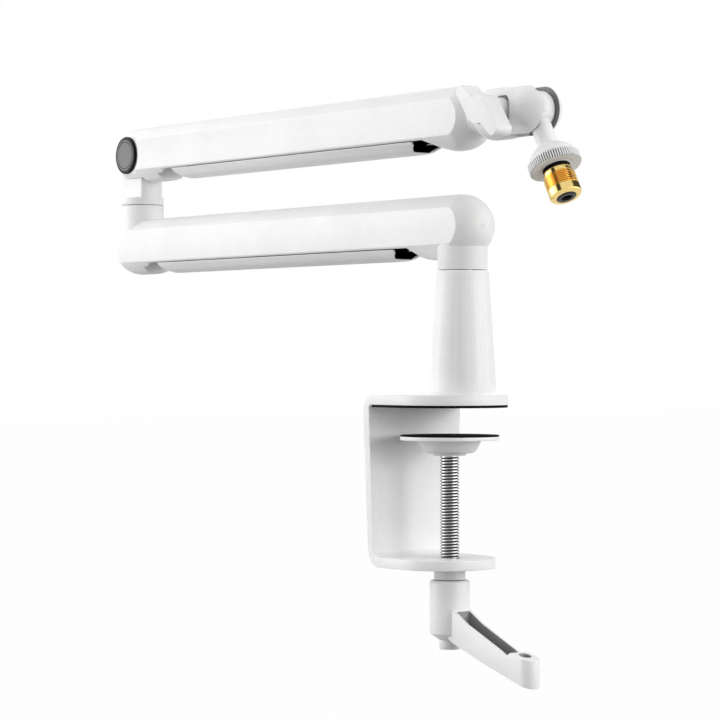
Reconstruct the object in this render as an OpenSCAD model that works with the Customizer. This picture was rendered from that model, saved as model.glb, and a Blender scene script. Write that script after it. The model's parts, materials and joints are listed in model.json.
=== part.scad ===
// Low profile microphone boom arm with desk clamp, two folding arms and a tilting head.
// Millimetres. Origin on the riser axis at the underside of the upper jaw pad.
// X runs along the folded arms towards the microphone, Z is up.

/* [View] */
// Piece to show, or all of them

/* [Clamp] */
// Half width of the clamp strap at the upper jaw
strap_half_top = 29.5; // [24:0.1:34]
// Half width of the clamp strap at the lower jaw
strap_half_low = 26.3; // [20:0.1:30]
// Thickness of the back plate and the upper jaw
strap_t = 4.75; // [2.5:0.05:6]
// Thickness of the lower jaw
lower_jaw_t = 5; // [3:0.1:8]
// Inner face of the back plate behind the riser axis
throat = 39.1; // [36:0.1:60]
// Height from the desk plane down to the lower jaw
jaw_height = 75.85; // [60:0.05:110]
// Thickness of the rubber pad under the upper jaw
pad_t = 1.3; // [1:0.1:5]
// Clamp screw axis behind the riser axis
screw_back = 10.4; // [0:0.1:20]
// Outer bend radius of the upper corner
bend_top = 7; // [6:0.5:10]
// Outer bend radius of the lower corner
bend_low = 9; // [6:0.5:12]

/* [Riser] */
// Radius of the riser foot
riser_r_low = 17.1; // [14:0.1:22]
// Radius of the riser top
riser_r_top = 13; // [12.6:0.1:18]
// Height of the riser top above the desk plane
riser_top = 68.45; // [50:0.05:110]

/* [Clamp screw and foot] */
// Outside radius of the clamp screw
screw_r = 4.85; // [4:0.05:6]
// Radius of the pressure foot
foot_r = 25; // [18:0.5:32]
// Gap left between the jaw pad and the pressure foot as shown
foot_gap = 13.85; // [11:0.05:16]
// Thickness of the rubber on the pressure foot
foot_pad_t = 0.7; // [0.5:0.1:5]
// Thickness of the steel pressure disc
foot_disc_t = 1.9; // [1:0.1:3]
// Radius of the swivel cup at its rim
cup_r = 15.9; // [12:0.1:20]
// Height of the swivel cup
cup_h = 6.6; // [5:0.1:10]
// Radius of the handle hub
hub_r = 10.2; // [8:0.1:14]
// Height of the handle hub
hub_h = 26.2; // [18:0.1:34]
// Half width of the handle lever
lever_half = 5.5; // [4:0.1:8]
// Reach of the handle lever past the riser axis
lever_reach = 56.8; // [52:0.1:70]

/* [Arms] */
// Distance between the two joint axes of each arm
arm_len = 305; // [260:1:350]
// Height of the lower arm axis above the desk plane
low_axis = 90.55; // [80:0.05:140]
// Height of the upper arm axis above the desk plane
up_axis = 144.55; // [138:0.05:170]
// Outer radius of the arm section and of its round ends
arm_r = 16.15; // [15.5:0.05:18]
// Half width across the side panels
panel_w = 12.6; // [11.6:0.1:13.5]
// Half height of the side panels
panel_h = 8.95; // [7:0.05:9.7]
// Half width where the bevels meet the crown
crown_w = 7; // [4.2:0.1:8]
// Radius of the turned necks and posts
neck_r = 12.5; // [11:0.1:12.8]
// Height of the elbow seam above the desk plane
elbow_seam = 115.05; // [110:0.05:117]
// Half thickness of the elbow tongue
tongue_half = 7.2; // [6:0.1:7.6]
// Inner half width of the cable channel
channel_w = 9.4; // [8:0.1:9.6]
// Start of the lower cover from the elbow axis
low_cover_x = 34; // [30:0.5:44]
// Start of the upper cover from the elbow axis
up_cover_x = 49.5; // [42:0.5:50]
// Length of the cable covers
cover_len = 227; // [180:1:260]
// Gap between the cable covers and the arm shells
cover_gap = 0.45; // [0.3:0.05:0.8]

/* [Head] */
// Radius of the head barrel
barrel_r = 12.8; // [11:0.1:15]
// Distance of the tilt axis past the upper arm end axis
tilt_x = 56.6; // [50:0.1:66]
// Half width of the slot in the barrel
slot_half = 5.45; // [5.3:0.05:6.5]
// Radius of the flat knuckle in the slot
knuckle_r = 9.3; // [8:0.1:9.6]
// Distance of the clamp bolt past the upper arm end axis
bolt_x = 44.4; // [41:0.1:45]
// Lean of the stem forward from straight down as shown
stem_lean = 28; // [0:1:60]
// Radius of the stem
stem_r = 5; // [4:0.05:5.1]
// Distance from the tilt axis to the rim of the dome
dome_d = 27.7; // [26:0.1:32]
// Radius of the dome collar
dome_r = 12.2; // [10:0.1:12.6]
// Radius of the knurled ring
ring_r = 13; // [11:0.1:15]
// Height of the knurled ring
ring_h = 4.3; // [4:0.1:8]
// Outside radius of the microphone thread
mic_r = 7.94; // [7.5:0.01:8.2]
// Length of the microphone thread adapter
mic_len = 14.2; // [12:0.1:20]

/* [Hidden] */
$fn = 96;
fit = 0.05;
thread_fit = 0.1;
back_x = -throat;
jaw_low = -jaw_height;
jaw_bottom = jaw_low - lower_jaw_t;
plate_top = pad_t + strap_t;
front_top_x = -10.6;
front_low_x = -15.5;
boss_r = 7.9;
boss_h = 5.6;
boss_bottom = jaw_bottom - boss_h;
foot_top = -foot_gap;
disc_top = foot_top - foot_pad_t;
cup_top = disc_top - foot_disc_t;
cup_bottom = cup_top - cup_h;
hub_top = boss_bottom - 0.4;
hub_low = hub_top - hub_h;
hub_cone = 3.6;
stub_low = hub_low - 8.4;
shaft_r = 7;
shaft_rise = 8;
bolt_grip = 12;
bolt_circle = 11.8;
bush_r = 9;
shaft_bottom = riser_top - 44;
elbow_x = -arm_len;
seam_gap = 0.4;
shoulder_seam = riser_top + seam_gap;
neck_root = 9;
port_r = 9.5;
skirt = 9.85;
cover_top = -skirt - cover_gap;
ledge_z = elbow_seam + 4.7;
hinge_r = 4;
washer_t = 0.75;
fork_in = tongue_half + fit + washer_t;
cap_w = 10.6;
cap_r = 10.95;
cap_seat_r = 15;
cap_face_r = 9.2;
cap_out = 12.3;
bar_back = 18.5;
back_fillet = 8;
collar_r = 8.8;
roll_r = 6;
roll_bush_r = 8;
roll_bush_in = 19;
roll_bore_in = 30;
roll_grip = 15;
clip_in = 22;
flat_w = 10.6;
lever_in = 17.3;
lever_out = 27;
tilt_pin_r = 3;
pin_half = 9.4;
bolt_r = 2.4;
ring_top = dome_d + 0.6;
ring_low = ring_top + 0.1 + ring_h;
stud_r = 4.75;
thread_washer_t = 2;
washer_r = 6.9;
mic_end = -ring_low - thread_washer_t - fit - mic_len;

// Cylinder along X from x0 to x1
module rod_x(r, x0, x1) {
  translate([x0, 0, 0])
    rotate([0, 90, 0])
      cylinder(r = r, h = x1 - x0);
}

// Cylinder along Y from y0 to y1
module rod_y(r, y0, y1) {
  translate([0, y0, 0])
    rotate([-90, 0, 0])
      cylinder(r = r, h = y1 - y0);
}

// Cylinder along Z from z0 to z1
module rod_z(r, z0, z1) {
  translate([0, 0, z0])
    cylinder(r = r, h = z1 - z0);
}

// Stands a flat shape drawn in X and Z upright and gives it the width from y0 to y1
module upright(y0, y1) {
  translate([0, y1, 0])
    rotate([90, 0, 0])
      linear_extrude(height = y1 - y0)
        children();
}

// Flat shape from z0 to z1, open to the right, with two rounded corners at x0
module open_frame(x0, z0, z1, r_low, r_top) {
  translate([x0, z0 + r_low])
    square([100, z1 - z0 - r_low - r_top]);
  translate([x0 + r_low, z0])
    square([100 - r_low, r_low + 1]);
  translate([x0 + r_top, z1 - r_top - 1])
    square([100 - r_top, r_top + 1]);
  translate([x0 + r_low, z0 + r_low])
    circle(r = r_low);
  translate([x0 + r_top, z1 - r_top])
    circle(r = r_top);
}

// Side view of the clamp strap with its two rounded corners
module strap_side() {
  difference() {
    open_frame(back_x - strap_t, jaw_bottom, plate_top, bend_low, bend_top);
    open_frame(back_x, jaw_low, pad_t, bend_low - strap_t, bend_top - strap_t);
  }
}

// Front view of the strap, narrower towards the lower jaw
module strap_taper() {
  polygon([[-strap_half_top, plate_top + 1], [strap_half_top, plate_top + 1],
    [strap_half_top, 0], [strap_half_low, jaw_low], [strap_half_low, jaw_bottom - 1],
    [-strap_half_low, jaw_bottom - 1], [-strap_half_low, jaw_low], [-strap_half_top, 0]]);
}

// Plan outline of a jaw, straight at the back and round at the front
module jaw_plan(half, cx) {
  translate([-80, -half])
    square([80 + cx, 2 * half]);
  translate([cx, 0])
    circle(r = half);
}

module clamp_bracket() {
  color([0.93, 0.93, 0.92])
    difference() {
      intersection() {
        upright(-40, 40)
          strap_side();
        rotate([90, 0, 90])
          translate([0, 0, -60])
            linear_extrude(height = 100)
              strap_taper();
        union() {
          translate([0, 0, jaw_low + 20])
            linear_extrude(height = 100)
              jaw_plan(strap_half_top, front_top_x);
          translate([0, 0, jaw_bottom - 1])
            linear_extrude(height = 21 + lower_jaw_t)
              jaw_plan(strap_half_low, front_low_x);
          translate([back_x - strap_t - 1, -40, jaw_bottom - 1])
            cube([strap_t + 7, 80, 60]);
        }
      }
      translate([-screw_back, 0, 0])
        rod_z(screw_r + thread_fit, jaw_bottom - 1, jaw_low + 1);
      for (a = [60, 180, 300])
        rotate([0, 0, a])
          translate([bolt_circle, 0, 0])
            rod_z(2.15, pad_t - 1, plate_top + 1);
    }
}

module jaw_pad() {
  color([0.06, 0.06, 0.06])
    linear_extrude(height = pad_t)
      intersection() {
        jaw_plan(strap_half_top - 0.2, front_top_x);
        translate([back_x + bend_top - strap_t, -40])
          square([80, 80]);
      }
}

module riser_post() {
  color([0.93, 0.93, 0.92])
    difference() {
      translate([0, 0, plate_top])
        cylinder(r1 = riser_r_low, r2 = riser_r_top, h = riser_top - plate_top, $fn = 128);
      rod_z(bush_r, shaft_bottom - 2, riser_top + 1);
      for (a = [60, 180, 300])
        rotate([0, 0, a])
          translate([bolt_circle, 0, 0])
            rod_z(2, plate_top - 1, plate_top + bolt_grip);
    }
}

module riser_bolts() {
  color([0.55, 0.55, 0.56])
    for (a = [60, 180, 300])
      rotate([0, 0, a])
        translate([bolt_circle, 0, 0])
          rod_z(2, pad_t, plate_top + bolt_grip);
}

module riser_bush() {
  color([0.75, 0.62, 0.35])
    difference() {
      rod_z(bush_r, shaft_bottom - 1, riser_top - 0.5);
      rod_z(shaft_r + fit, shaft_bottom - 2, riser_top);
    }
}

module nut_boss() {
  color([0.93, 0.93, 0.92])
    translate([-screw_back, 0, 0])
      difference() {
        rod_z(boss_r, boss_bottom, jaw_bottom);
        rod_z(screw_r + thread_fit, boss_bottom - 1, jaw_bottom + 1);
      }
}

module pressure_disc() {
  color([0.93, 0.93, 0.92])
    translate([-screw_back, 0, 0])
      rod_z(foot_r, cup_top, disc_top);
}

module pressure_pad() {
  color([0.06, 0.06, 0.06])
    translate([-screw_back, 0, 0])
      rod_z(foot_r, disc_top, foot_top);
}

// Swivel cup with a round pocket that holds the screw tip
module swivel_cup() {
  color([0.1, 0.1, 0.1])
    translate([-screw_back, 0, 0])
      difference() {
        rotate_extrude()
          polygon([[0, cup_top], [cup_r, cup_top], [cup_r - 0.4, cup_top - 1.2],
            [cup_r - 1.5, cup_top - 3.5], [cup_r - 2.7, cup_bottom + 1], [cup_r - 4.6, cup_bottom + 0.1],
            [cup_r - 5.6, cup_bottom], [0, cup_bottom]]);
        rod_z(screw_r + thread_fit, cup_bottom - 1, cup_top - 1.6);
      }
}

module cup_washer() {
  color([0.1, 0.1, 0.1])
    translate([-screw_back, 0, 0])
      difference() {
        rod_z(8.2, cup_bottom - 1.2, cup_bottom);
        rod_z(screw_r + thread_fit, cup_bottom - 3, cup_bottom + 1);
      }
}

module clamp_screw() {
  color([0.7, 0.7, 0.72])
    translate([-screw_back, 0, 0])
      rod_z(screw_r, stub_low + 3, cup_top - 1.9);
}

// Side view of the handle lever, with its heights from the lower end of the hub side
module lever_side() {
  translate([0, hub_low])
    polygon([[-screw_back, 12.4], [-screw_back + 9, 12.1], [10.7, 5.5], [36, -4.8], [41, -7.1],
      [44, -5.3], [lever_reach + 1, -8.7], [lever_reach + 1, -22.4], [50, -20.1],
      [20.8, -11.6], [-1, -4.6], [-screw_back, 0]]);
}

module clamp_handle() {
  color([0.93, 0.93, 0.92])
    difference() {
      union() {
        translate([-screw_back, 0, 0])
          rotate_extrude()
            polygon([[0, hub_top], [hub_r - 0.8, hub_top], [hub_r, hub_top - 0.8],
              [hub_r, hub_low - 0.4], [5.6, hub_low - hub_cone], [0, hub_low - hub_cone]]);
        intersection() {
          upright(-lever_half, lever_half)
            lever_side();
          translate([0, 0, hub_low - 30])
            linear_extrude(height = 50) {
              translate([-screw_back, -lever_half])
                square([lever_reach + screw_back - lever_half, 2 * lever_half]);
              translate([lever_reach - lever_half, 0])
                circle(r = lever_half);
            }
        }
      }
      intersection() {
        upright(-lever_half + 1.5, lever_half - 1.5)
          translate([0, hub_low])
            polygon([[-2, 20], [41, 20], [41, -14.8], [20.8, -9], [1, -2.4]]);
        difference() {
          translate([-20, -10, hub_low - 20])
            cube([80, 20, 50]);
          translate([-screw_back, 0, 0])
            rod_z(hub_r + 1.5, hub_low - 30, hub_low + 40);
        }
      }
      translate([lever_reach - 8, 0, 0])
        rod_z(3, hub_low - 14, hub_low);
      translate([-screw_back, 0, 0])
        rod_z(screw_r, hub_low - hub_cone - 1, hub_top + 1);
    }
}

module screw_stub() {
  color([0.1, 0.1, 0.1])
    translate([-screw_back, 0, 0])
      difference() {
        rod_z(screw_r + 0.35, stub_low, hub_low - hub_cone);
        rod_z(screw_r, stub_low + 3, hub_low);
      }
}

// Height where the bevel leaves the round crown
function bevel_z() = sqrt(arm_r * arm_r - crown_w * crown_w);

// Height where the two upper bevels would meet
function bevel_tip() = bevel_z() + crown_w * (bevel_z() - panel_h) / (panel_w - crown_w);

// Outline of the side panels and the bevels, drawn across Y and Z
module bevel_outline() {
  polygon([[panel_w, panel_h], [0, bevel_tip()], [-panel_w, panel_h],
    [-panel_w, -panel_h], [0, -bevel_tip()], [panel_w, -panel_h]]);
}

// Arm section outline with its round crowns
module arm_section() {
  intersection() {
    circle(r = arm_r);
    bevel_outline();
  }
}

// Round ended bar from the elbow axis to the far joint axis
module arm_body() {
  intersection() {
    translate([elbow_x - arm_r - 2, 0, 0])
      rotate([90, 0, 90])
        linear_extrude(height = arm_len + 2 * arm_r + 4)
          bevel_outline();
    rotate([0, 90, 0])
      rotate_extrude($fn = 128)
        intersection() {
          union() {
            translate([0, elbow_x])
              square([arm_r, arm_len]);
            circle(r = arm_r, $fn = 128);
            translate([0, elbow_x])
              circle(r = arm_r, $fn = 128);
          }
          translate([0, elbow_x - 30])
            square([30, arm_len + 60]);
        }
  }
}

// Cable channel from port corner x0 to port corner x1, open towards the cover
// The inclined port mouths reach run0 and run1 past the corners at the underside
module channel(x0, x1, run0, run1) {
  deep = 1.2 * (arm_r - skirt);
  translate([x0 - 0.75 * run0, 0, 0])
    rotate([90, 0, 90])
      linear_extrude(height = x1 - x0 + 0.75 * run0 + 2.5)
        polygon([[channel_w, -20], [channel_w, 7.6], [4, 12.4], [-4, 12.4],
          [-channel_w, 7.6], [-channel_w, -20]]);
  upright(-20, 20)
    polygon([[x0, -skirt], [x1, -skirt], [x1 + 1.2 * run1, -skirt - deep],
      [x0 - 1.2 * run0, -skirt - deep]]);
}

// Cover strip that closes a channel, with hollow ends for the cable
module cable_cover(x0) {
  difference() {
    union() {
      translate([x0, 0, 0])
        rotate([90, 0, 90])
          linear_extrude(height = cover_len)
            difference() {
              intersection() {
                arm_section();
                translate([-20, -20])
                  square([40, 20 + cover_top]);
              }
              polygon([[-8.2, cover_top + 1], [-8.2, cover_top - 1.2], [-5, -14.4],
                [5, -14.4], [8.2, cover_top - 1.2], [8.2, cover_top + 1]]);
            }
      for (s = [-1, 1])
        translate([x0 + 12, s * (channel_w - 0.95) - 0.6, cover_top - 1])
          cube([cover_len - 24, 1.2, 5.4]);
    }
    for (x = [x0 - 3.2, x0 + cover_len + 3.2])
      translate([x, 0, 0])
        rod_z(port_r, -2 * arm_r, -5);
  }
}

// Shell with a blind bore for the shoulder shaft and a bush bore at the elbow
module lower_arm_shell() {
  color([0.93, 0.93, 0.92])
    difference() {
      union() {
        translate([0, 0, low_axis])
          arm_body();
        rod_z(neck_r, shoulder_seam, low_axis - neck_root);
        translate([elbow_x, 0, 0])
          rod_z(neck_r, low_axis + neck_root, elbow_seam);
      }
      translate([0, 0, low_axis])
        channel(elbow_x + low_cover_x - 8.6, elbow_x + low_cover_x + cover_len + 12.7, 11.5, 8.3);
      rod_z(shaft_r, shoulder_seam - 1, low_axis + shaft_rise);
      translate([elbow_x, 0, 0])
        rod_z(bush_r, low_axis - 11, elbow_seam + 1);
      translate([0, 0, low_axis - 2])
        rod_x(2, -2 * arm_r, -4);
      translate([elbow_x, 0, low_axis + 4])
        rod_x(2, 4, 20);
    }
}

module shoulder_shaft() {
  color([0.7, 0.7, 0.72])
    rod_z(shaft_r, shaft_bottom, low_axis + shaft_rise);
}

module shoulder_grub() {
  color([0.2, 0.2, 0.2])
    translate([0, 0, low_axis - 2])
      rod_x(2, -20, -shaft_r);
}

module elbow_bush() {
  color([0.75, 0.62, 0.35])
    translate([elbow_x, 0, 0])
      difference() {
        rod_z(bush_r, low_axis - 11, elbow_seam - 0.5);
        rod_z(shaft_r + fit, low_axis - 12, elbow_seam);
      }
}

module elbow_grub() {
  color([0.2, 0.2, 0.2])
    translate([elbow_x, 0, low_axis + 4])
      rod_x(2, bush_r, 15);
}

module lower_cable_cover() {
  color([0.93, 0.93, 0.92])
    translate([0, 0, low_axis])
      cable_cover(elbow_x + low_cover_x);
}

// Turned column whose upper half is milled to a round topped tongue
module elbow_yoke() {
  color([0.93, 0.93, 0.92])
    translate([elbow_x, 0, 0])
      difference() {
        union() {
          rod_z(neck_r, elbow_seam + seam_gap, up_axis);
          translate([0, 0, up_axis])
            rod_y(neck_r - 0.4, -tongue_half, tongue_half);
        }
        for (s = [0, 180])
          rotate([0, 0, s])
            translate([-20, tongue_half, ledge_z])
              cube([40, 10, 60]);
        translate([0, 0, up_axis])
          rod_y(hinge_r + fit, -10, 10);
        rod_z(shaft_r, elbow_seam, ledge_z + 2);
      }
}

module elbow_shaft() {
  color([0.7, 0.7, 0.72])
    translate([elbow_x, 0, 0])
      rod_z(shaft_r, low_axis - 10.4, ledge_z + 2);
}

module upper_arm_shell() {
  color([0.93, 0.93, 0.92])
    translate([0, 0, up_axis])
      difference() {
        union() {
          arm_body();
          rod_x(collar_r, 10, bar_back - 0.3);
        }
        channel(elbow_x + up_cover_x - 8.5, elbow_x + up_cover_x + cover_len + 9, 12, 16);
        translate([elbow_x, 0, 0]) {
          rod_y(neck_r + 0.7, -fork_in, fork_in);
          translate([-20, -fork_in, -20])
            cube([20 + neck_r + 1.2, 2 * fork_in, 20]);
          translate([-20, -fork_in, -0.1])
            cube([16.5, 2 * fork_in, 20]);
          rod_y(hinge_r, -20, 20);
          for (s = [0, 180])
            rotate([0, 0, s])
              rod_y(cap_seat_r, cap_w, 20);
        }
        rod_x(roll_bush_r, -roll_bore_in, bar_back + 1);
      }
}

module hinge_bolt() {
  color([0.7, 0.7, 0.72])
    translate([elbow_x, 0, up_axis]) {
      rod_y(hinge_r, -cap_w - 0.6, cap_w + 0.8);
      rod_y(7, -cap_w - 1.2, -cap_w);
    }
}

module hinge_nut() {
  color([0.7, 0.7, 0.72])
    translate([elbow_x, 0, up_axis])
      rotate([-90, 0, 0])
        translate([0, 0, cap_w + 0.5])
          difference() {
            cylinder(r = 7.4, h = 0.7, $fn = 6);
            translate([0, 0, -1])
              cylinder(r = hinge_r, h = 3);
          }
}

module hinge_washers() {
  color([0.2, 0.2, 0.2])
    translate([elbow_x, 0, up_axis])
      for (s = [0, 180])
        rotate([0, 0, s])
          difference() {
            rod_y(11, tongue_half + fit, fork_in);
            rod_y(hinge_r, 0, 20);
          }
}

module hinge_spring() {
  color([0.6, 0.6, 0.62])
    translate([elbow_x, 0, up_axis])
      difference() {
        rod_y(8, cap_w, cap_w + 0.5);
        rod_y(hinge_r, 0, 20);
      }
}

module cap_ring() {
  rotate([90, 0, 0])
    rotate_extrude()
      polygon([[cap_face_r, cap_w], [cap_r, cap_w], [cap_r, cap_out - 0.5],
        [cap_r - 0.6, cap_out], [cap_face_r, cap_out]]);
}

module cap_face() {
  rod_y(cap_face_r, -cap_out - 0.12, -cap_w - 1.2);
}

module near_cap_ring() {
  color([0.05, 0.05, 0.05])
    translate([elbow_x, 0, up_axis])
      cap_ring();
}

module near_cap_face() {
  color([0.5, 0.5, 0.5])
    translate([elbow_x, 0, up_axis])
      cap_face();
}

module far_cap_ring() {
  color([0.05, 0.05, 0.05])
    translate([elbow_x, 0, up_axis])
      rotate([0, 0, 180])
        cap_ring();
}

module far_cap_face() {
  color([0.5, 0.5, 0.5])
    translate([elbow_x, 0, up_axis])
      rotate([0, 0, 180])
        cap_face();
}

module head_bush() {
  color([0.75, 0.62, 0.35])
    translate([0, 0, up_axis])
      difference() {
        rod_x(roll_bush_r, -roll_bush_in, bar_back - 0.6);
        rod_x(roll_r + fit, -roll_bush_in - 1, bar_back + 1);
      }
}

module upper_cable_cover() {
  color([0.93, 0.93, 0.92])
    translate([0, 0, up_axis])
      cable_cover(elbow_x + up_cover_x);
}

// Round nosed barrel along X, split by the slot for the knuckle
module head_barrel() {
  color([0.93, 0.93, 0.92])
    translate([0, 0, up_axis])
      difference() {
        rotate([0, 90, 0])
          rotate_extrude()
            intersection() {
              union() {
                translate([0, bar_back + back_fillet])
                  square([barrel_r, tilt_x - bar_back - back_fillet]);
                translate([0, bar_back])
                  square([barrel_r - back_fillet, back_fillet + 1]);
                translate([barrel_r - back_fillet, bar_back + back_fillet])
                  circle(r = back_fillet);
                translate([0, tilt_x])
                  circle(r = barrel_r);
              }
              square([40, 120]);
            }
        translate([bolt_x - 7, -slot_half, -20])
          cube([60, 2 * slot_half, 40]);
        rod_x(roll_r, bar_back - 1, bar_back + roll_grip);
        translate([bolt_x, 0, 0]) {
          rod_y(bolt_r + 0.1, -20, slot_half);
          rod_y(bolt_r, 0, 20);
          rod_y(7.8, -20, -flat_w);
          rotate([-90, 0, 0])
            translate([0, 0, barrel_r - 3])
              cylinder(r = 4.6, h = 10, $fn = 6);
        }
        translate([tilt_x, 0, 0])
          rod_y(tilt_pin_r, -pin_half, pin_half);
      }
}

module head_shaft() {
  color([0.7, 0.7, 0.72])
    translate([0, 0, up_axis])
      difference() {
        rod_x(roll_r, -clip_in - 2, bar_back + roll_grip);
        difference() {
          rod_x(roll_r + 1, -clip_in - 0.6, -clip_in + 0.6);
          rod_x(roll_r - 1, -clip_in - 1, -clip_in + 1);
        }
      }
}

module head_clip() {
  color([0.3, 0.3, 0.3])
    translate([0, 0, up_axis])
      difference() {
        rod_x(roll_r + 1.8, -clip_in - 0.5, -clip_in + 0.5);
        rod_x(roll_r - 1, -clip_in - 1, -clip_in + 1);
      }
}

module tilt_pin() {
  color([0.7, 0.7, 0.72])
    translate([tilt_x, 0, up_axis])
      rod_y(tilt_pin_r, -pin_half, pin_half);
}

// Places its children on the leaning stem axis, with the distance down the stem as -Z
module on_stem() {
  translate([tilt_x, 0, up_axis])
    rotate([0, -stem_lean, 0])
      children();
}

module tilt_stem() {
  color([0.93, 0.93, 0.92])
    on_stem()
      difference() {
        union() {
          intersection() {
            sphere(r = 10);
            rod_y(knuckle_r, -slot_half + 0.3, slot_half - 0.3);
          }
          rod_z(stem_r, -dome_d, -4);
          rotate_extrude()
            polygon([[0, -ring_top], [dome_r, -ring_top], [dome_r, -dome_d],
              [dome_r - 1.2, -dome_d + 2.4], [dome_r - 3, -dome_d + 4.2],
              [dome_r - 5, -dome_d + 6], [stem_r, -dome_d + 7.2], [0, -dome_d + 7.2]]);
          rod_z(8, -ring_low, -dome_d);
        }
        rod_y(tilt_pin_r + fit, -10, 10);
        rod_z(stud_r, -ring_low - 1, -ring_low + 10);
      }
}

// Set screw with a hexagon socket that carries the thread adapter
module mic_stud() {
  color([0.08, 0.08, 0.08])
    on_stem()
      difference() {
        rod_z(stud_r, mic_end - 0.4, -ring_low + 10);
        translate([0, 0, mic_end - 2])
          cylinder(r = 2.9, h = 7, $fn = 6);
      }
}

module thread_washer() {
  color([0.06, 0.06, 0.06])
    on_stem()
      difference() {
        rod_z(washer_r, -ring_low - thread_washer_t, -ring_low);
        rod_z(stud_r, -60, 0);
      }
}

// Curved two winged lever drawn in X and Z about the bolt
module wing_plan() {
  circle(r = 7.2);
  for (a = [0, 180])
    translate([0, -0.6])
      rotate(a) {
        polygon([[15, -8.5], [5.45, 5.15], [-3, 0], [3.3, -6.6], [9.6, -11.9], [12, -9.7]]);
        translate([11.9, -9.7])
          circle(r = 3.3);
      }
}

module wing_lever() {
  color([0.93, 0.93, 0.92])
    translate([bolt_x, 0, up_axis])
      difference() {
        union() {
          upright(-lever_out, -lever_in)
            wing_plan();
          rod_y(6.2, -lever_in, -flat_w - 0.1);
        }
        rod_y(bolt_r, -lever_in - 4, 0);
      }
}

module tilt_bolt() {
  color([0.7, 0.7, 0.72])
    translate([bolt_x, 0, up_axis])
      rod_y(bolt_r, -lever_in - 4, barrel_r - 1.2);
}

module bolt_nut() {
  color([0.7, 0.7, 0.72])
    translate([bolt_x, 0, up_axis])
      rotate([-90, 0, 0])
        translate([0, 0, barrel_r - 3])
          difference() {
            cylinder(r = 4.6, h = 2.2, $fn = 6);
            translate([0, 0, -1])
              cylinder(r = bolt_r + 0.1, h = 5);
          }
}

module knurled_ring() {
  color([0.93, 0.93, 0.92])
    on_stem()
      rotate_extrude()
        polygon([[8 + fit, -ring_top - fit], [ring_r - 0.4, -ring_top - fit],
          [ring_r, -ring_top - 0.4], [ring_r, -ring_low + 0.5], [ring_r - 0.4, -ring_low + fit],
          [8 + fit, -ring_low + fit]]);
}

// Threaded adapter with a relieved neck and a chamfered end
module thread_adapter() {
  color([0.83, 0.65, 0.25])
    on_stem()
      rotate_extrude()
        polygon([[stud_r + fit, mic_end], [mic_r - 1, mic_end], [mic_r, mic_end + 1],
          [mic_r, mic_end + mic_len - 3], [mic_r - 0.75, mic_end + mic_len - 2.4],
          [mic_r - 0.75, mic_end + mic_len], [stud_r + fit, mic_end + mic_len]]);
}

clamp_bracket();
jaw_pad();
riser_post();
riser_bolts();
riser_bush();
nut_boss();
pressure_disc();
pressure_pad();
swivel_cup();
cup_washer();
clamp_screw();
clamp_handle();
screw_stub();
lower_arm_shell();
shoulder_shaft();
shoulder_grub();
elbow_bush();
elbow_grub();
lower_cable_cover();
elbow_yoke();
elbow_shaft();
upper_arm_shell();
hinge_bolt();
hinge_nut();
hinge_washers();
hinge_spring();
near_cap_ring();
near_cap_face();
far_cap_ring();
far_cap_face();
head_bush();
upper_cable_cover();
head_barrel();
head_shaft();
head_clip();
tilt_pin();
tilt_stem();
mic_stud();
thread_washer();
wing_lever();
tilt_bolt();
bolt_nut();
knurled_ring();
thread_adapter();
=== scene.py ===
import json
from math import atan2, cos, hypot, pi, radians, sin

import bpy
from mathutils import Matrix, Vector

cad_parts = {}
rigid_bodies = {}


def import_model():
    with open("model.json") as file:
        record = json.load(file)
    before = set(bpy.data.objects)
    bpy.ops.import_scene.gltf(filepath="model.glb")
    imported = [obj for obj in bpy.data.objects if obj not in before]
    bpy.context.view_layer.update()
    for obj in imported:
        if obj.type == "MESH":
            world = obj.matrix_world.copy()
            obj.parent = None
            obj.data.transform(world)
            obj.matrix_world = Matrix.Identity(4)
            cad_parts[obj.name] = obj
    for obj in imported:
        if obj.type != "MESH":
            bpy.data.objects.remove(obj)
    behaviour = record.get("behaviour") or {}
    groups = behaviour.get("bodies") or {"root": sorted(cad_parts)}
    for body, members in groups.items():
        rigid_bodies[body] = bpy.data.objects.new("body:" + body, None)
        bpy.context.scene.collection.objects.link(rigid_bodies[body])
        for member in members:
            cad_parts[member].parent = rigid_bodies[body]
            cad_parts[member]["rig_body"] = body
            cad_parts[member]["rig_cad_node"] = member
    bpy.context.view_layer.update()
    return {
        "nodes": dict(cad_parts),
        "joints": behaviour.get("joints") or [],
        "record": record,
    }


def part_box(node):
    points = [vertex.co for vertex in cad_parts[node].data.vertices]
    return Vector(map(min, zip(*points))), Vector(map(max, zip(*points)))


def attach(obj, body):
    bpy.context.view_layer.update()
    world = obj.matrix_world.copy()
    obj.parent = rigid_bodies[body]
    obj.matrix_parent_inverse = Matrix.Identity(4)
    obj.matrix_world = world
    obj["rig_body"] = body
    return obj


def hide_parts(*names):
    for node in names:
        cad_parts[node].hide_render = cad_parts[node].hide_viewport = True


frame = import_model()
cad = frame["nodes"]
joint = {j["name"]: j for j in frame["joints"]}
slot_of = {s["node"]: s["material_slot"] for s in frame["record"]["subparts"]}
mm = 0.001

upright = Vector((0, 0, 1))
elbow_axis = Vector(joint["elbow_pitch"]["pos_m"])
tilt_axis = Vector(joint["head_tilt"]["pos_m"])
bolt_axis = Vector(joint["lever_turn"]["pos_m"])
stem_down = Vector(joint["ring_turn"]["axis"]).normalized()
hinge_sides = (("near", -1), ("far", 1))


# Shader maths

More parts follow.
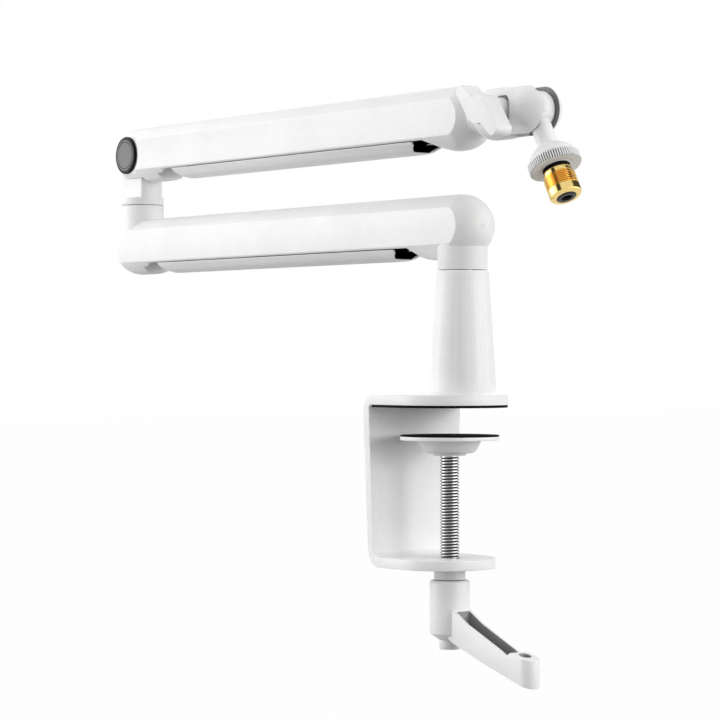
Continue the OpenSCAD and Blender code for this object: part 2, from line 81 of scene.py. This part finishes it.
class Val:
    """A shader socket that can be used in sums and products."""

    def __init__(self, nodes, socket):
        self.nodes = nodes
        self.socket = socket

    def maths(self, operation, first, second):
        return self.nodes.add("Math", {"operation": operation}, {0: first, 1: second})

    def __add__(self, other):
        return self.maths("ADD", self, other)

    def __radd__(self, other):
        return self.maths("ADD", other, self)

    def __sub__(self, other):
        return self.maths("SUBTRACT", self, other)

    def __rsub__(self, other):
        return self.maths("SUBTRACT", other, self)

    def __mul__(self, other):
        return self.maths("MULTIPLY", self, other)

    def __rmul__(self, other):
        return self.maths("MULTIPLY", other, self)


class Nodes:
    """The node tree of one finish, or of the world."""

    def __init__(self, tree):
        self.tree = tree

    def add(self, kind, settings=None, sockets=None, out=0):
        """Makes a node with these settings and sockets, and gives back one of its outputs."""
        node = self.tree.nodes.new("ShaderNode" + kind)
        for name, value in (settings or {}).items():
            setattr(node, name, value)
        for name, value in (sockets or {}).items():
            self.feed(node.inputs[name], value)
        return Val(self, node.outputs[out])

    def feed(self, socket, value):
        """Links a value to a socket, or sets a plain number or colour there."""
        if isinstance(value, Val):
            self.tree.links.new(value.socket, socket)
        else:
            socket.default_value = value

    def noise(self, scale, detail, rough=0.5, stretch=(1, 1, 1)):
        here = self.add("TexCoord", out="Object")
        here = self.add("Mapping", {}, {"Vector": here, "Scale": stretch})
        return self.add("TexNoise", {}, {"Vector": here, "Scale": scale, "Detail": detail,
                                         "Roughness": rough})

    def mix(self, share, low, high):
        return self.add("Mix", {"data_type": "RGBA"}, {0: share, 6: low, 7: high}, out=2)

    def dot(self, first, second):
        return self.add("VectorMath", {"operation": "DOT_PRODUCT"}, {0: first, 1: second}, out="Value")


def ramp_of(nodes, value, low, high, at_low=0.0, at_high=1.0):
    """at_low below low, at_high above high and smooth between them."""
    return nodes.add("MapRange", {"interpolation_type": "SMOOTHSTEP"},
                     {"Value": value, "From Min": low, "From Max": high, "To Min": at_low, "To Max": at_high})


# Masks for painted shade in the hollows that the light hardly reaches

fade = 0.05 * mm
wide_fade = 0.1 * mm
channel_half = 9.5 * mm
channel_side_fade = 0.08 * mm
channel_end_fade = 0.5 * mm

# The arm's underside and the channel's roof are flat as far out as channel_flat and slope beyond it.
# Both lines are given by their slope and by the height, from the arm's axis, where they would cross
# the middle plane.
channel_flat = 5 * mm
skin_drop, skin_slope = 19.2 * mm, 0.867
roof_rise, roof_slope = 17.1 * mm, 0.889


def split_place(nodes):
    """Place along X, distance from the middle plane, and height."""
    here = nodes.add("TexCoord", out="Object")
    along, across, height = (nodes.add("SeparateXYZ", {}, {"Vector": here}, out=k) for k in "XYZ")
    return along, nodes.add("Math", {"operation": "ABSOLUTE"}, {0: across}), height


def groove_shade_mask(nodes, point, way, deep, clean, start, end):
    """One in the bottom of grooves round an axis, between two distances along it, else zero."""
    here = nodes.add("TexCoord", out="Object")
    arm = nodes.add("VectorMath", {"operation": "SUBTRACT"}, {0: here, 1: point})
    across = nodes.add("VectorMath", {"operation": "CROSS_PRODUCT"}, {0: arm, 1: way})
    reach = nodes.add("VectorMath", {"operation": "LENGTH"}, {0: across}, out="Value")
    along = nodes.dot(arm, way)
    mask = 1 - ramp_of(nodes, reach, deep, clean)
    mask = mask * ramp_of(nodes, along, start, start + fade)
    return mask * (1 - ramp_of(nodes, along, end - fade, end))


def channel_shade_mask(nodes, axis_z, light, dark, end):
    """One on the walls inside a cable channel, from where its painted shade begins to its end, else zero."""
    along, off, height = split_place(nodes)
    bend = nodes.add("Math", {"operation": "MAXIMUM"}, {0: off, 1: channel_flat})
    above_skin = height - axis_z + skin_drop - skin_slope * bend
    below_roof = axis_z - height + roof_rise - roof_slope * bend
    mask = 1 - ramp_of(nodes, off, channel_half - channel_side_fade, channel_half)
    mask = mask * ramp_of(nodes, above_skin, 0.0, fade)
    mask = mask * ramp_of(nodes, below_roof, 0.0, fade)
    mask = mask * ramp_of(nodes, along, light, dark)
    return mask * (1 - ramp_of(nodes, along, end, end + channel_end_fade))


def slot_shade_mask(nodes, half, start, end, floor_z, fall):
    """One on the walls of an upright slot of this half width, between two distances along X.

    The slot's floor lies at floor_z at the start and falls along X.
    """
    along, off, height = split_place(nodes)
    mask = ramp_of(nodes, along, start, start + wide_fade)
    mask = mask * (1 - ramp_of(nodes, along, end - wide_fade, end))
    mask = mask * (1 - ramp_of(nodes, off, half, half + wide_fade))
    return mask * ramp_of(nodes, height - floor_z + fall * (along - start), 0.0, wide_fade)


# Finishes

cloud_scale = 40
fine_gain, cloud_gain, tint_shift = 1.6, 0.8, 0.7
rough_swing = 0.08
bump_height = 0.05 * mm
highlight_bend = 0.012


def finish_of(name, colour, rough, metal=0.0, edge=0.25, grain=0.0, grain_scale=1500, tint=0.02,
              stretch=(1, 1, 1), specular=0.5, rim=0.0, groove=None, channel=None, slot=None,
              left=(0.1, 0.1, 0.1)):
    """A painted, moulded or bare metal finish with fine grain, slow colour drift and soft edges.

    edge is a radius in millimetres, and rim paints a highlight along the edges. In a groove, a channel
    or a slot the colour is darkened to the share left of it, as painted shade.
    """
    material = bpy.data.materials.new(name)
    material.use_nodes = True
    nodes = Nodes(material.node_tree)
    shader = material.node_tree.nodes["Principled BSDF"]
    shader.inputs["Metallic"].default_value = metal
    shader.inputs["Specular IOR Level"].default_value = specular
    cloud = nodes.noise(cloud_scale, 3.0)
    fine = nodes.noise(grain_scale, 2.0, 0.6, stretch)
    dark = tuple(c * (1 - 2 * tint) for c in colour) + (1,)
    pale = tuple(min(1.0, c * (1 + tint)) for c in colour) + (1,)
    share = nodes.add("Clamp", {}, {"Value": fine_gain * fine + cloud_gain * cloud - tint_shift})
    shade = nodes.mix(share, dark, pale)
    soft = nodes.add("Bevel", {"samples": 4}, {"Radius": edge * mm})
    # Painted highlight: the colour goes towards white where the softened normal bends away at edges.
    if rim:
        plain = nodes.add("NewGeometry", out="Normal")
        bent = 1 - nodes.dot(soft, plain)
        shade = nodes.mix(rim * ramp_of(nodes, bent, 0.0, highlight_bend), shade, (1, 1, 1, 1))
    # Painted shade: in grooves, channels and slots the colour is darkened to the share left of it.
    deep = tuple(part * c for part, c in zip(left, colour)) + (1,)
    for mask_of, bounds in ((groove_shade_mask, groove), (channel_shade_mask, channel), (slot_shade_mask, slot)):
        if bounds:
            shade = nodes.mix(mask_of(nodes, *bounds), shade, deep)
    nodes.feed(shader.inputs["Base Color"], shade)
    nodes.feed(shader.inputs["Roughness"], rough - 0.5 * rough_swing + rough_swing * fine)
    bump = nodes.add("Bump", {}, {"Strength": grain, "Distance": bump_height, "Height": fine,
                                  "Normal": soft})
    nodes.feed(shader.inputs["Normal"], bump)
    return material


def white_coat(name, **more):
    """The satin white powder coat of the castings, with a painted highlight along its edges."""
    return finish_of(name, (0.86, 0.86, 0.857), 0.44, grain=0.9, edge=0.5, tint=0.055,
                     grain_scale=1800, rim=0.9, **more)


def turned_along(node, axis_point, way):
    """First and last distance of a CAD node along an axis, and its least and largest radius."""
    arms = [corner.co - axis_point for corner in cad[node].data.vertices]
    along = [arm.dot(way) for arm in arms]
    reach = [(arm - arm.dot(way) * way).length for arm in arms]
    return min(along), max(along), min(reach), max(reach)


def half_width(node):
    """Half of a CAD node's width along X."""
    low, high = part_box(node)
    return (high.x - low.x) / 2


def faces_across(node):
    """How far the inner and the outer face of a CAD node lie from the middle plane."""
    low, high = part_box(node)
    return sorted((abs(low.y), abs(high.y)))


adapter_top, adapter_end, adapter_bore, adapter_r = turned_along("thread_adapter", tilt_axis, stem_down)
ring_top, ring_low, ring_bore, ring_r = turned_along("knurled_ring", tilt_axis, stem_down)
low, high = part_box("clamp_screw")
screw_axis = Vector(((low.x + high.x) / 2, 0, 0))
screw_low, screw_high, screw_r = low.z, high.z, half_width("clamp_screw")

# The channel's walls carry painted shade: none near the elbow, full within the first part of its cover.
axis_above_cover = 16.15 * mm
channel_shade_from, channel_shade_full = 3 * mm, 15 * mm
channel_past_cover = 25 * mm
channel_shaded_coat = {}
for part in ("lower", "upper"):
    low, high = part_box(part + "_cable_cover")
    channel_shaded_coat[part] = white_coat(
        part + "_arm_powder_coat", left=(0.01, 0.01, 0.01),
        channel=(low.z + axis_above_cover, low.x + channel_shade_from, low.x + channel_shade_full,
                 high.x + channel_past_cover))

# Painted shade in the grooves of the knurl.
ring_coat_groove_shade = white_coat(
    "ring_powder_coat", left=(0.03, 0.03, 0.03),
    groove=(tilt_axis, stem_down, ring_r - 0.75 * mm, ring_r - 0.2 * mm,
            ring_top + 0.1 * mm, ring_low - 0.1 * mm))

# The barrel's slot for the stem opens past the lever's bolt and has no floor or end of its own.
barrel_slot_half = 5.5 * mm
no_end, no_floor, level = 1.0, -1.0, 0.0
lever_seat_r = 7.85 * mm
lever_seat_from, lever_seat_to = 10.3 * mm, 11.2 * mm
# Painted shade on the walls of the slot and in the lever's seat.
barrel_coat_slot_shade = white_coat(
    "barrel_powder_coat", left=(0.22, 0.22, 0.22),
    slot=(barrel_slot_half, bolt_axis.x + mm, no_end, no_floor, level),
    groove=(Vector((bolt_axis.x, 0, bolt_axis.z)), Vector((0, -1, 0)), lever_seat_r,
            lever_seat_r + wide_fade, lever_seat_from, lever_seat_to))

# The handle has a long pocket in its top and a hole in its end.
low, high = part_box("clamp_handle")
hub_low = high.z - 26.2 * mm
pocket_half, pocket_start, pocket_end = 4.1 * mm, 0.3 * mm, 41.1 * mm
pocket_under_hub, pocket_fall = 2.8 * mm, 0.31
hole_in_from_end, hole_r, hole_under_hub = 8 * mm, 3.1 * mm, 14.2 * mm
# Painted shade on the walls of the pocket and in the hole.
handle_coat_pocket_shade = white_coat(
    "handle_powder_coat", left=(0.3, 0.3, 0.3),
    slot=(pocket_half, pocket_start, pocket_end, hub_low - pocket_under_hub, pocket_fall),
    groove=(Vector((high.x - hole_in_from_end, 0, 0)), upright, hole_r, hole_r + wide_fade,
            hub_low - hole_under_hub, hub_low))

# Painted shade in the roots of the screw's thread.
screw_steel_root_shade = finish_of(
    "threaded_steel", (0.52, 0.52, 0.53), 0.24, 1.0, grain=0.1, edge=0.06, tint=0.04,
    left=(0.15, 0.15, 0.15),
    groove=(screw_axis, upright, screw_r - 0.85 * mm, screw_r - 0.25 * mm, screw_low, screw_high))

cap_grey_groove_shade = {}
for side, facing in hinge_sides:
    face_r = half_width(side + "_cap_face")
    outer = faces_across(side + "_cap_face")[1]
    # Painted shade in the groove near the rim of the cap face.
    cap_grey_groove_shade[side] = finish_of(
        "matt_grey_" + side + "_cap", (0.185, 0.188, 0.185), 0.55, grain=0.5, edge=0.1, tint=0.05,
        grain_scale=2600, specular=0.3, left=(0.03, 0.03, 0.03),
        groove=(elbow_axis, Vector((0, facing, 0)), face_r, face_r + mm,
                outer - 0.6 * mm, outer - 0.1 * mm))

finishes = {
    "white_paint": white_coat("white_powder_coat"),
    "grey_paint": finish_of("pale_grey_paint", (0.74, 0.74, 0.74), 0.42, grain=0.5, edge=0.3, tint=0.03),
    "black_rubber": finish_of("black_rubber", (0.006, 0.006, 0.0065), 0.8, grain=0.5, grain_scale=2200,
                              tint=0.2, edge=0.15, specular=0.08),
    "bright_steel": finish_of("bright_steel", (0.5, 0.5, 0.51), 0.2, 1.0, grain=0.1, edge=0.06,
                              tint=0.04, stretch=(1, 1, 6)),
    "black_steel": finish_of("black_oxide_steel", (0.03, 0.03, 0.031), 0.3, 0.6, grain=0.3, edge=0.1,
                             tint=0.15, specular=0.4),
    "black_gloss": finish_of("gloss_black_plastic", (0.004, 0.004, 0.004), 0.18, grain=0.05, edge=0.15,
                             tint=0.1, specular=0.12),
    "grey_plastic": cap_grey_groove_shade["near"],
    "bronze": finish_of("bush_bronze", (0.46, 0.31, 0.15), 0.38, 1.0, grain=0.2, edge=0.1, tint=0.06),
    # Painted shade in the thread's roots, in a deeper orange.
    "brass": finish_of("turned_brass", (0.86, 0.64, 0.24), 0.13, 1.0, grain=0.12, edge=0.05, tint=0.04,
                       grain_scale=900, left=(0.85, 0.5, 0.1),
                       groove=(tilt_axis, stem_down, adapter_r - 0.5 * mm, adapter_r - 0.1 * mm,
                               adapter_top + 2.45 * mm, adapter_end - 4.95 * mm))}


def dress(piece, finish):
    """Gives a piece one finish all over."""
    piece.data.materials.clear()
    piece.data.materials.append(finish)


# Modelling

weld = 0.002 * mm
thread_weld = 0.001 * mm
hard_edge = radians(28)
flat_enough = radians(0.6)


def begin():
    """Back to object mode with nothing selected."""
    if bpy.context.object and bpy.context.object.mode != "OBJECT":
        bpy.ops.object.mode_set(mode="OBJECT")
    bpy.ops.object.select_all(action="DESELECT")


def take(piece):
    """Selects one piece alone and makes it active."""
    begin()
    piece.select_set(True)
    bpy.context.view_layer.objects.active = piece


def draw_line(name, points):
    """A chain of edges, drawn by extruding one vertex from point to point."""
    begin()
    bpy.ops.mesh.primitive_plane_add(size=0.01)
    piece = bpy.context.object
    piece.name = name
    bpy.ops.object.mode_set(mode="EDIT")
    bpy.ops.mesh.select_all(action="SELECT")
    bpy.ops.mesh.merge(type="CENTER")
    here = Vector(points[0])
    bpy.ops.transform.translate(value=here)
    for point in points[1:]:
        step = Vector(point) - here
        bpy.ops.mesh.extrude_region_move(TRANSFORM_OT_translate={"value": step})
        here = Vector(point)
    return piece


def turn(name, profile, steps, closed=True):
    """A turned piece about Z from (radius, height) points in millimetres."""
    points = [(r * mm, 0, z * mm) for r, z in profile]
    if closed:
        points.append(points[0])
    piece = draw_line(name, points)
    bpy.ops.mesh.select_all(action="SELECT")
    bpy.ops.mesh.spin(steps=steps, angle=2 * pi, center=(0, 0, 0), axis=(0, 0, 1))
    bpy.ops.mesh.select_all(action="SELECT")
    bpy.ops.mesh.remove_doubles(threshold=weld)
    bpy.ops.mesh.normals_make_consistent(inside=False)
    bpy.ops.object.mode_set(mode="OBJECT")
    return piece


def wind_ridge(name, root, crest, pitch, low, high, base, top, steps=40):
    """A right-hand thread ridge about Z, wound between two heights, all in millimetres.

    base and top are half the ridge's width at its root and at its crest, in pitches.
    """
    sunk = root - 0.05
    corners = [(sunk, -base), (crest, -top), (crest, top), (sunk, base)]
    piece = draw_line(name, [(r * mm, 0, (low + h * pitch) * mm) for r, h in corners])
    bpy.ops.mesh.select_all(action="SELECT")
    bpy.ops.mesh.edge_face_add()
    bpy.ops.mesh.delete(type="ONLY_FACE")
    bpy.ops.object.mode_set(mode="OBJECT")
    winding = piece.modifiers.new("winding", "SCREW")
    winding.axis = "Z"
    winding.screw_offset = pitch * mm
    winding.iterations = int((high - low) / pitch)
    winding.steps = steps
    winding.render_steps = steps
    winding.use_smooth_shade = False
    bpy.ops.object.modifier_apply(modifier="winding")
    bpy.ops.object.mode_set(mode="EDIT")
    bpy.ops.mesh.select_all(action="SELECT")
    bpy.ops.mesh.remove_doubles(threshold=thread_weld)
    bpy.ops.mesh.fill_holes(sides=8)
    bpy.ops.mesh.select_all(action="SELECT")
    bpy.ops.mesh.normals_make_consistent(inside=False)
    bpy.ops.object.mode_set(mode="OBJECT")
    return piece


def join(pieces, name):
    """Makes one piece of several."""
    begin()
    for piece in pieces:
        piece.select_set(True)
    bpy.context.view_layer.objects.active = pieces[0]
    bpy.ops.object.join()
    pieces[0].name = name
    return pieces[0]


def place(piece, origin, up=upright):
    """Moves a piece made about Z onto an axis of the object, and leaves its object at the origin."""
    take(piece)
    turned = upright.rotation_difference(Vector(up)).to_matrix().to_4x4()
    piece.matrix_world = Matrix.Translation(origin) @ turned
    bpy.ops.object.transform_apply(location=True, rotation=True, scale=True)


def settle(piece, node, smooth=35, coat=None):
    """Lets a finished piece stand for a CAD node, in its finish and on its body."""
    take(piece)
    bpy.ops.object.shade_smooth_by_angle(angle=radians(smooth))
    slot = slot_of[node]
    dress(piece, coat or finishes[slot])
    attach(piece, cad[node]["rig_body"])
    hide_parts(node)


def eased(node, width, segments=2, coat=None):
    """A copy of a CAD node with its hard edges rounded over, by a width in millimetres."""
    begin()
    piece = cad[node].copy()
    piece.data = cad[node].data.copy()
    bpy.context.scene.collection.objects.link(piece)
    piece.parent = None
    piece.name = "eased_" + node
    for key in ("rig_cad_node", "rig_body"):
        del piece[key]
    take(piece)
    bpy.ops.object.mode_set(mode="EDIT")
    bpy.ops.mesh.select_all(action="SELECT")
    bpy.ops.mesh.remove_doubles(threshold=weld)
    bpy.ops.mesh.dissolve_limited(angle_limit=flat_enough)
    bpy.ops.object.mode_set(mode="OBJECT")
    edge = piece.modifiers.new("edge", "BEVEL")
    edge.width = width * mm
    edge.segments = segments
    edge.limit_method = "ANGLE"
    edge.angle_limit = hard_edge
    edge.use_clamp_overlap = True
    bpy.ops.object.modifier_apply(modifier="edge")
    settle(piece, node, coat=coat)


# Clamp screw, in millimetres, with a ridge of 1.5 mm pitch that stops 1 mm short of both ends

crest_gap = 0.01
screw_pitch, screw_thread_deep, screw_plain_end = 1.5, 0.9, 1
foot, head, outer = (v / mm for v in (screw_low, screw_high, screw_r))
root = outer - screw_thread_deep
core = turn("screw_core", [(0, foot), (root, foot), (root, head), (0, head)], 48, closed=False)
ridge = wind_ridge("screw_ridge", root, outer - crest_gap, screw_pitch, foot + screw_plain_end,
                   head - screw_plain_end, base=0.46, top=0.2)
screw = join([core, ridge], "threaded_clamp_screw")
place(screw, screw_axis)
settle(screw, "clamp_screw", coat=screw_steel_root_shade)

# Microphone thread, 27 ridges to the inch between a plain neck and a plain collar

mic_pitch, mic_thread_deep = 0.9407, 0.6
outer, bore, start, end = (v / mm for v in (adapter_r, adapter_bore, adapter_top, adapter_end))
root = outer - mic_thread_deep
neck = outer - 0.79
edge = outer - 0.95
profile = [(bore, start), (edge, start), (neck, start + 0.16), (neck, start + 2.2), (edge, start + 2.4),
           (root, start + 2.5), (root, end - 5.1), (outer - 0.25, end - 4.9), (outer, end - 4.65),
           (outer, end - 1.05), (outer - 0.2, end - 0.75), (edge, end - 0.08), (outer - 1.1, end),
           (bore + 0.25, end), (bore, end - 0.25)]
sleeve = turn("adapter_sleeve", profile, 96)
ridge = wind_ridge("adapter_ridge", root, outer - crest_gap, mic_pitch, start + 2.8, end - 4.8,
                   base=0.44, top=0.05, steps=72)
adapter = join([sleeve, ridge], "threaded_adapter")
place(adapter, tilt_axis, stem_down)
settle(adapter, "thread_adapter", 25)

# Knurled ring: eight steps round to each tooth, and three of them are pressed in to a groove

teeth, tooth_steps, groove_steps, groove_deep = 66, 8, (0, 1, 2), 0.8
outer, bore, start, end = (v / mm for v in (ring_r, ring_bore, ring_top, ring_low))
chamfer = 0.25
rim_only = outer - 0.3
ring = turn("knurled_grip_ring",
            [(bore, start), (outer - chamfer, start), (outer, start + chamfer), (outer, end - chamfer),
             (outer - chamfer, end), (bore, end)], teeth * tooth_steps)
bpy.ops.object.mode_set(mode="EDIT")
bpy.ops.mesh.select_all(action="DESELECT")
bpy.ops.object.mode_set(mode="OBJECT")
for corner in ring.data.vertices:
    x, y = (corner.co / mm).xy
    step = round(atan2(y, x) / (2 * pi) * teeth * tooth_steps) % tooth_steps
    corner.select = hypot(x, y) > rim_only and step in groove_steps
bpy.ops.object.mode_set(mode="EDIT")
bpy.ops.mesh.select_mode(type="VERT")
shrink = (outer - groove_deep) / outer
bpy.ops.transform.resize(value=(shrink, shrink, 1), center_override=(0, 0, 0))
bpy.ops.object.mode_set(mode="OBJECT")
place(ring, tilt_axis, stem_down)
settle(ring, "knurled_ring", 20, coat=ring_coat_groove_shade)

# Hinge caps: a gloss ring with a fine groove in its side, and a face with a groove near its rim

cap_steps = 128
for side, facing in hinge_sides:
    ring_out = half_width(side + "_cap_ring") / mm
    face_r = half_width(side + "_cap_face") / mm
    seat, proud = (v / mm for v in faces_across(side + "_cap_ring"))
    face_in, face_out = (v / mm for v in faces_across(side + "_cap_face"))
    disc_r, dip_out, dip_in = face_r - 0.02, face_r - 1.0, face_r - 1.48
    dip_floor, middle = face_out - 0.4, face_out - 0.03
    band = turn("gloss_" + side + "_cap_ring",
                [(face_r, seat), (ring_out, seat), (ring_out, seat + 0.55), (ring_out - 0.12, seat + 0.75),
                 (ring_out - 0.12, seat + 0.85), (ring_out, seat + 1.05), (ring_out - 0.08, proud - 0.5),
                 (ring_out - 0.3, proud - 0.18), (ring_out - 0.65, proud - 0.02), (ring_out - 0.95, proud),
                 (face_r + 0.12, proud - 0.02), (face_r, proud - 0.15)], cap_steps)
    place(band, elbow_axis, (0, facing, 0))
    settle(band, side + "_cap_ring", 40)
    disc = turn("grey_" + side + "_cap_face",
                [(0, face_in), (disc_r, face_in), (disc_r, face_out - 0.12), (face_r - 0.14, face_out),
                 (dip_out, face_out), (dip_out - 0.08, dip_floor), (dip_in + 0.08, dip_floor),
                 (dip_in, middle), (0, middle)], cap_steps, closed=False)
    place(disc, elbow_axis, (0, facing, 0))
    settle(disc, side + "_cap_face", 40, coat=cap_grey_groove_shade[side])

# Rounded edges on the castings, covers, pads and small turned pieces

eased("clamp_bracket", 0.5, 3)
eased("riser_post", 0.35)
for part in ("lower", "upper"):
    eased(part + "_arm_shell", 0.3, coat=channel_shaded_coat[part])
for part in ("lower", "upper"):
    eased(part + "_cable_cover", 0.2, coat=channel_shaded_coat[part])
eased("elbow_yoke", 0.3)
eased("clamp_handle", 0.3, 3, coat=handle_coat_pocket_shade)
eased("nut_boss", 0.3)
eased("swivel_cup", 0.35)
eased("cup_washer", 0.2)
eased("pressure_disc", 0.3)
eased("pressure_pad", 0.25)
eased("jaw_pad", 0.2)
eased("head_barrel", 0.25, coat=barrel_coat_slot_shade)
eased("wing_lever", 0.5, 3)
eased("tilt_stem", 0.25)
eased("mic_stud", 0.15)
eased("thread_washer", 0.15)
eased("screw_stub", 0.3)

for node, piece in cad.items():
    dress(piece, finishes[slot_of[node]])

# Floor, far below the arm because the clamp hangs on a desk edge that isn't shown

object_middle = Vector((-0.12, 0, 0.03))
to_camera = Vector((0.807, -0.5906, 0))
to_right = Vector((0.5906, 0.807, 0))
floor_width, floor_drop = 60, 0.75
floor_grey, floor_glow = 0.25, 0.985

begin()
bpy.ops.mesh.primitive_plane_add(size=floor_width, location=(0, 0, -floor_drop))
floor = bpy.context.object
floor.name = "floor"
material = bpy.data.materials.new("pale_floor")
material.use_nodes = True
nodes = Nodes(material.node_tree)
shader = material.node_tree.nodes["Principled BSDF"]
shader.inputs["Base Color"].default_value = (floor_grey, floor_grey, floor_grey, 1)
shader.inputs["Roughness"].default_value = 1.0
shader.inputs["Specular IOR Level"].default_value = 0.0
ray = nodes.add("LightPath", out="Is Camera Ray")
glossy = nodes.add("LightPath", out="Is Glossy Ray")
through = nodes.add("LightPath", out="Is Transmission Ray")
glow = nodes.add("Emission", {}, {"Color": (1, 1, 1, 1), "Strength": 1.0})
seen = nodes.add("Math", {"operation": "ADD", "use_clamp": True}, {0: ray, 1: glossy + through})
pale = nodes.add("MixShader", {}, {0: floor_glow * seen, 1: Val(nodes, shader.outputs[0]), 2: glow})
nodes.feed(material.node_tree.nodes["Material Output"].inputs["Surface"], pale)
floor.data.materials.append(material)

# World: white to the camera, soft light from all round, and dimmer on the camera's side, above all
# in what metal mirrors

ambient_least, ambient_more = 0.63, 0.31
mirror_least = 0.08

# Two dark flags and one bright card that the brass thread mirrors. Each has the turn about the
# thread of the strip that mirrors it, the closeness to its direction where it starts and where it
# is full, and what it takes from or adds to the mirrored light.
flags = ((-17, 0.955, 0.985, -0.95),
         (58, 0.66, 0.84, -0.93),
         (-52, 0.55, 0.8, 0.8))

world = bpy.data.worlds.new("studio")
bpy.context.scene.world = world
world.use_nodes = True
world.node_tree.nodes.clear()
sky = Nodes(world.node_tree)
direction = sky.add("TexCoord", out="Generated")
facing = sky.dot(direction, to_camera)
soft_shade = ramp_of(sky, facing, 0.3, 0.95, 1.0, 0.0)
mirror_shade = ramp_of(sky, facing, 0.75, 0.96, 1.0, mirror_least)
facing_thread = (to_camera - to_camera.dot(stem_down) * stem_down).normalized()
beside_thread = stem_down.cross(facing_thread)
if beside_thread.dot(to_right) < 0:
    beside_thread = -beside_thread
for turned, near_edge, far_edge, gain in flags:
    front = cos(radians(turned)) * facing_thread + sin(radians(turned)) * beside_thread
    seen_way = 2 * front.dot(to_camera) * front - to_camera
    flag = sky.dot(direction, seen_way)
    mirror_shade = mirror_shade * (1 + gain * ramp_of(sky, flag, near_edge, far_edge))
ray = sky.add("LightPath", out="Is Camera Ray")
glossy = sky.add("LightPath", out="Is Glossy Ray")
ambient = ambient_least + ambient_more * soft_shade
strength = ambient * (1 - glossy) + glossy * mirror_shade
strength = strength * (1 - ray) + ray
background = sky.add("Background", {}, {"Color": (1, 1, 1, 1), "Strength": strength})
output = world.node_tree.nodes.new("ShaderNodeOutputWorld")
world.node_tree.links.new(background.socket, output.inputs["Surface"])

# Lamps, each with its direction from the middle of the object, its width and its power

lamp_distance = 1.4
lamps = (("left_softbox", (-0.7, -0.8, 0.15), 1.0, 5.8),
         ("left_spot", (-0.7, -0.8, 0.15), 0.4, 3.0),
         ("low_left_softbox", (-0.35, -1, -0.4), 1.0, 2.4),
         ("right_softbox", (1, 0.15, 0.1), 1.0, 1.3),
         ("right_spot", (1, 0.3, 0.1), 0.4, 3.2),
         ("far_softbox", (0.7, 0.75, 0.15), 1.0, 5.5))

for name, way, width, watts in lamps:
    lamp = bpy.data.lights.new(name, "AREA")
    lamp.size = width
    lamp.energy = watts
    box = bpy.data.objects.new(name, lamp)
    box.location = object_middle + Vector(way).normalized() * lamp_distance
    box.rotation_euler = (object_middle - box.location).to_track_quat("-Z", "Y").to_euler()
    bpy.context.scene.collection.objects.link(box)

# Camera, level, with a long lens

focal_length, sensor_width = 132.5, 36
camera_place = Vector((1.0389, -0.8239, 0.02385))
camera_turn = 53.8

lens = bpy.data.cameras.new("camera")
lens.sensor_width = sensor_width
lens.lens = focal_length
lens.clip_start = 0.05
lens.clip_end = 100
camera = bpy.data.objects.new("camera", lens)
camera.location = camera_place
camera.rotation_euler = (radians(90), 0, radians(camera_turn))
bpy.context.scene.collection.objects.link(camera)
bpy.context.scene.camera = camera
bpy.context.scene.view_settings.view_transform = "Standard"
